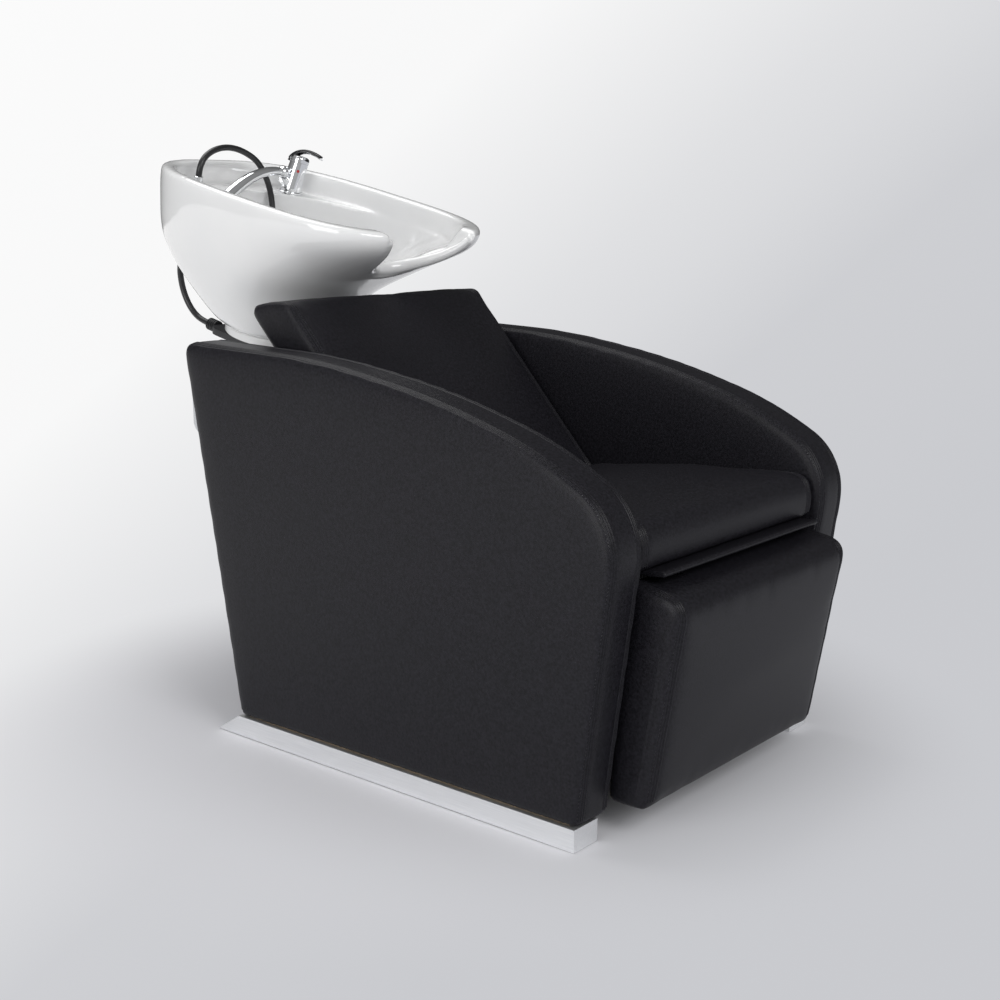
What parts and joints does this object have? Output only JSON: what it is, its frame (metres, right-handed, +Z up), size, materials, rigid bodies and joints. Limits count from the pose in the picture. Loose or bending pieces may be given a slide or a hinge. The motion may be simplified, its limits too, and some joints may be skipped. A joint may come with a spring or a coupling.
{
  "type": "salon backwash unit",
  "caption": "Upholstered salon wash chair with a swing-up legrest and a tilting ceramic basin with a lever mixer, swivel spout and hand spray behind the backrest.",
  "frame": {"origin": "on the floor, under the middle of the unit's outer box", "axes": "+X across the chair to the sitter's left, -Y the way the sitter faces, +Z up"},
  "size_m": [0.7, 1.3174, 1.0434],
  "materials": {
    "black_leather": "fine grained black upholstery over foam",
    "stainless": "brushed",
    "plywood": "raw plywood",
    "stained_plywood": "plywood stained black",
    "black_plastic": "satin black",
    "frame_paint": "black powder coat",
    "cover_plastic": "light grey, satin",
    "ceramic": "white glaze",
    "white_plastic": "glossy white",
    "chrome": "polished",
    "brass": "machined",
    "copper": "copper pipe",
    "grey_plastic": "grey",
    "red_enamel": "red dot",
    "hose_rubber": "smooth black hose"
  },
  "bodies": {
    "chair": {"arm_cover_right": "black_leather", "arm_cover_left": "black_leather", "seat_cushion": "black_leather", "seat_flap": "black_leather", "backrest_cushion": "black_leather", "foot_rail_right": "stainless", "foot_rail_left": "stainless", "rail_screws": "stainless", "cross_bolts": "stainless", "board_screws": "stainless", "cover_screws": "stainless", "arm_core_right": "plywood", "arm_core_left": "plywood", "seat_board": "stained_plywood", "backrest_board": "stained_plywood", "floor_glides": "black_plastic", "seat_tubes": "frame_paint", "back_tubes": "frame_paint", "hinge_tube": "frame_paint", "hinge_arms": "frame_paint", "support_tube": "frame_paint", "support_post": "frame_paint", "floor_plate": "frame_paint", "tilt_fork": "frame_paint", "rear_cover": "cover_plastic"},
    "legrest": {"legrest_cushion": "black_leather", "legrest_core": "plywood", "hinge_pins": "stainless", "friction_washers": "black_plastic"},
    "basin_unit": {"basin": "ceramic", "basin_collar": "white_plastic", "tilt_plate": "frame_paint", "plate_screws": "stainless", "tilt_pins": "stainless", "tilt_washers": "black_plastic", "waste_flange": "chrome", "waste_nut": "white_plastic", "tail_nut": "white_plastic", "tailpipe": "white_plastic", "mixer_ring": "chrome", "mixer_body": "chrome", "mixer_nut": "brass", "marker_dot": "red_enamel", "inlet_tail_hot": "copper", "inlet_tail_cold": "copper", "hose_guide": "chrome", "guide_nut": "black_plastic", "hose_collar": "black_plastic", "hose_nut": "black_plastic", "hand_spray": "black_plastic", "spray_rose": "grey_plastic", "spray_hose": "hose_rubber", "loop_hose": "hose_rubber"},
    "tilt_clamp": {"tilt_lock": "black_plastic"},
    "temperature_stem": {"mixer_cartridge": "brass"},
    "flow_lever": {"mixer_lever": "chrome", "lever_inlay": "black_plastic"},
    "swivel_spout": {"spout": "chrome", "spout_aerator": "grey_plastic"},
    "strainer": {"waste_strainer": "chrome"}
  },
  "joints": [
    {"name": "legrest_swing", "type": "hinge", "parent": "chair", "child": "legrest", "pos_m": [0, -0.58663, 0.3], "axis": [-1, 0, 0], "range_deg": [0, 80]},
    {"name": "basin_tilt", "type": "hinge", "parent": "chair", "child": "basin_unit", "pos_m": [0, 0.47317, 0.62832], "axis": [-1, 0, 0], "range_deg": [0, 14]},
    {"name": "tilt_lock_turn", "type": "hinge", "parent": "chair", "child": "tilt_clamp", "pos_m": [0, 0.47317, 0.62832], "axis": [1, 0, 0], "range_deg": [0, 60]},
    {"name": "temperature_turn", "type": "hinge", "parent": "basin_unit", "child": "temperature_stem", "pos_m": [0.13603, 0.53812, 1.01048], "axis": [0.2419, -0.215, 0.9462], "range_deg": [-45, 45]},
    {"name": "lever_lift", "type": "hinge", "parent": "temperature_stem", "child": "flow_lever", "pos_m": [0.1361, 0.55658, 1.01498], "axis": [-0.9703, -0.0536, 0.2359], "range_deg": [0, 25]},
    {"name": "spout_swing", "type": "hinge", "parent": "basin_unit", "child": "swivel_spout", "pos_m": [0.098, 0.54434, 0.99213], "axis": [0, -0.2215, 0.9751], "range_deg": [0, 75]},
    {"name": "strainer_lift", "type": "slide", "parent": "basin_unit", "child": "strainer", "axis": [0, -0.2215, 0.9751], "range_m": [0, 0.03]}
  ]
}
